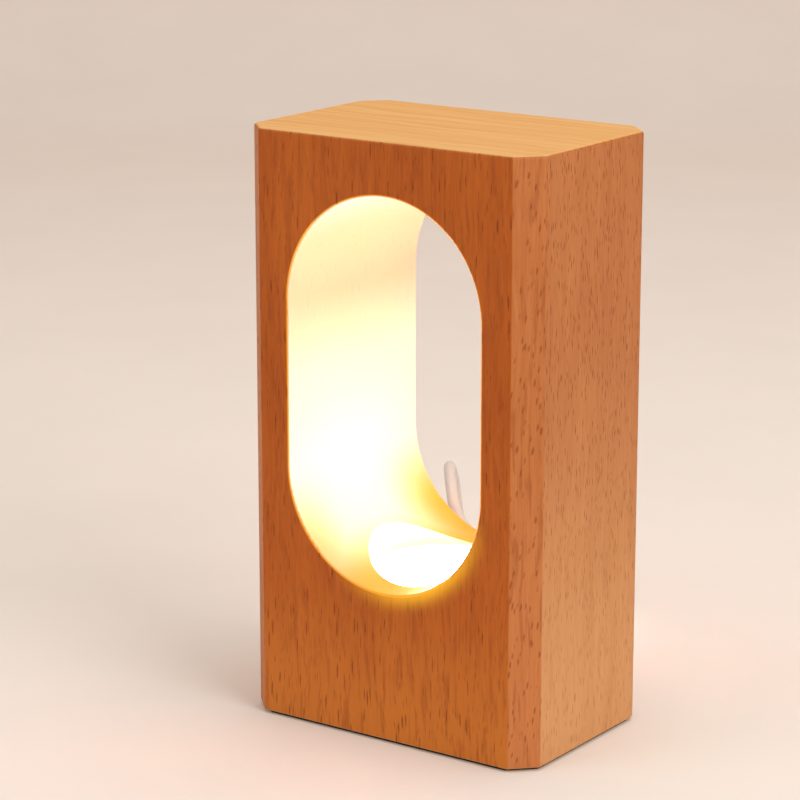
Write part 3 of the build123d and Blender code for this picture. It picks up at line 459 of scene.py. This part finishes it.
cores = Finish("core_insulation", "core_insulation")
core_grain = cores.noise(cores.place, 2, 2)
cores.surface(Base_Color=cores.blend(core_grain, (0.4, 0.02, 0.015), (0.52, 0.035, 0.025)), Roughness=0.35)
cores.coat(nodes["led_leads"], nodes["supply_cores"], nodes["switch_wires"])


# Lead: round white PVC, out through a soft tapered sleeve in the back wall. It rises behind the
# lamp in one loose loop, comes down and runs into the switch.
def spot(point):
    return Vector(point) * MM


def behind(x, distance, height):
    return (x, 27.5 + distance, height)


heading = radians(-54.7)


def in_switch(distance, height):
    return (-4.2 + distance * cos(heading), 76.6 + distance * sin(heading), height)


lead_diameter = 3.2
route_to_switch = [
    behind(0, 0, 17), behind(0, 16.5, 17), behind(-11.3, 27.2, 19.8), behind(-25.2, 27.2, 25.1),
    behind(-34, 26.9, 32.7), behind(-39.2, 32.3, 40), behind(-45.2, 40.3, 42.1),
    behind(-49.7, 47.7, 39.5), behind(-52.6, 54, 33.1), behind(-53.8, 57.7, 20.8),
    behind(-53.5, 63.2, 11.5), behind(-49.4, 68.2, 5.7), behind(-43.4, 72.1, 2.6),
    behind(-36, 74.4, 2.2), behind(-28.5, 74.5, 4.2), in_switch(-26, 6), in_switch(-16, 6),
]


def lay(name, points):
    line = bpy.data.curves.new(name, "CURVE")
    line.dimensions = "3D"
    line.bevel_depth = 1
    line.bevel_resolution = 5
    line.resolution_u = 6
    line.use_fill_caps = True
    spline = line.splines.new("NURBS")
    spline.points.add(len(points) - 1)
    for knot, point in zip(spline.points, points):
        knot.co = (*spot(point), 1)
        knot.radius = lead_diameter / 2 * MM
    spline.order_u = 3
    spline.use_endpoint_u = True
    cord = piece_of(name, line)
    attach(cord, "lamp")
    return cord


pvc = Finish("cord_pvc", "cord_pvc")
pvc_grain = pvc.noise(pvc.place, 0.5, 3)
pvc.surface(
    Base_Color=pvc.blend(pvc_grain, linear(216, 214, 208), linear(228, 226, 221)),
    Roughness=pvc_grain.ramp(0.3, 0.7, 0.38, 0.48),
    Specular_IOR_Level=0.45,
)
pvc.bump(pvc.noise(pvc.place, 1.6, 2), 0.05, 0.4)
first_lead = lay("lead_to_switch", route_to_switch)
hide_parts("cord_to_switch")
pvc.coat(first_lead, nodes["inner_cord"])

soft_white = Finish("sleeve_pvc", "sleeve_pvc")
soft_grain = soft_white.noise(soft_white.place, 2, 3)
soft_white.surface(
    Base_Color=soft_white.blend(soft_grain, linear(224, 222, 216), linear(234, 232, 227)),
    Roughness=0.5,
)
rib_wave = soft_white.math("SINE", soft_white.y * 3.4)
soft_white.bump(rib_wave, 0.12, 0.6)
soft_white.coat(nodes["cord_sleeve"])


# Switch on the lead: two glossy white halves screwed together from below, with a rocker that
# tips on stub axles, a sprung brass plunger in it, and a blade that it rocks between terminals.
gloss = Finish("switch_shell", "switch_shell")
gloss_grain = gloss.noise(gloss.place, 1.2, 2)
gloss.surface(
    Base_Color=gloss.blend(gloss_grain, linear(232, 231, 227), linear(241, 240, 237)),
    Roughness=gloss_grain.ramp(0.3, 0.7, 0.2, 0.3),
)
gloss.bump(gloss_grain, 0.01, 0.2)
gloss.coat(nodes["switch_base"], nodes["switch_cover"], nodes["switch_rocker"], nodes["plug_body"])

brass = Finish("contact_brass", "contact_brass")
brass_grain = brass.noise(brass.place, 3, 3)
brass.surface(
    Base_Color=brass.blend(brass_grain, (0.58, 0.36, 0.12), (0.72, 0.48, 0.18)),
    Metallic=1.0,
    Roughness=brass_grain.ramp(0.3, 0.7, 0.22, 0.36),
)
brass.coat(nodes["switch_plunger"], nodes["contact_blade"], nodes["switch_contacts"], nodes["plug_contacts"])

spring_steel = Finish("spring_steel", "spring_steel")
# Colour darker in the grooves between turns: painted shade.
wire_turns = spring_steel.math("SINE", spring_steel.z * 12)
spring_steel.surface(
    Base_Color=spring_steel.blend(wire_turns.ramp(-1, 1), (0.25, 0.25, 0.26), (0.55, 0.55, 0.56)),
    Metallic=1.0,
    Roughness=0.3,
)
spring_steel.bump(wire_turns, 0.1, 0.7)
spring_steel.coat(nodes["plunger_spring"])


# Rest of the lead: from the switch along the back of the lamp, wound clockwise into a coil of
# eleven turns, three across and four high, held by a strap, and on over its top to the plug.
coil_middle = (-30, 53.95)
coil_radii = (21.25, 18, 14.75)
coil_heights = (2.35, 5.6, 8.85, 12.1)
places = (
    [(0, row) for row in (0, 1, 2, 3)] + [(1, row) for row in (3, 2, 1, 0)]
    + [(2, row) for row in (0, 1, 2, 3)]
)
steps = 24


def eased(turn, start, end):
    share = min(1, max(0, (turn - start) / (end - start)))
    return share * share * (3 - 2 * share)


def shift_window(column, next_column):
    if column != next_column:
        return (185, 250) if column == 1 else (265, 330)
    return {0: (295, 355), 1: (220, 285), 2: (140, 205)}[column]


coil_route = []
for here, there in zip(places, places[1:]):
    window = shift_window(here[0], there[0])
    for step in range(steps):
        turn = 360 * step / steps
        if here == places[-2] and turn > 340:
            break
        share = eased(turn, *window)
        radius = coil_radii[here[0]] * (1 - share) + coil_radii[there[0]] * share
        height = coil_heights[here[1]] * (1 - share) + coil_heights[there[1]] * share
        angle = radians(-90 - turn)
        wide = radius / cos(pi / steps)
        coil_route.append((coil_middle[0] + wide * cos(angle), coil_middle[1] + wide * sin(angle), height))

tail_radius = 15
tail_reach = tail_radius / cos(radians(15))
tail_heights = (13.1, 14.6, 16.6, 17.6)
tail_angles = (265, 235, 205, 175)
tail = []
for angle, height in zip(tail_angles, tail_heights):
    across, along = tail_reach * cos(radians(angle)), tail_reach * sin(radians(angle))
    tail.append((coil_middle[0] + across, coil_middle[1] + along, height))
plug_heading = radians(70)
tail_run = 8.038
plug_end = (tail[-1][0] + tail_run * cos(plug_heading), tail[-1][1] + tail_run * sin(plug_heading), 17.6)
route_from_switch = [
    in_switch(16, 6), in_switch(25.8, 6), behind(11.6, 18.7, 4.2), behind(7, 9.7, 2.2),
    behind(-1.6, 4.3, 1.62), behind(-12, 3.7, 1.8), behind(-23.5, 5.4, 2.2),
]
second_lead = lay("lead_to_plug", route_from_switch + coil_route[1:] + tail + [plug_end])
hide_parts("cord_from_switch", "cord_coil", "cord_tail")
pvc.coat(second_lead)

strap = Finish("strap", "strap")
loops = strap.noise(strap.place, 9, 2)
strap.surface(Base_Color=strap.blend(loops, linear(198, 196, 190), linear(226, 224, 219)), Roughness=0.95,
              Sheen_Weight=0.4)
strap.bump(loops, 0.15, 0.9)
strap.coat(nodes["cord_tie"])


# Plug: a white moulded grip round a bright steel shell with two square windows, and a white
# tongue in it that carries the brass contacts.
plug_steel = Finish("plug_steel", "plug_steel")
rolled = plug_steel.noise(plug_steel.place, 0.8, 2)
plug_steel.surface(
    Base_Color=plug_steel.blend(rolled, (0.55, 0.55, 0.55), (0.68, 0.68, 0.68)),
    Metallic=1.0,
    Roughness=rolled.ramp(0.3, 0.7, 0.2, 0.3),
)
plug_steel.bump(rolled, 0.003, 0.2)
plug_steel.coat(nodes["plug_shell"])

bpy.context.view_layer.update()
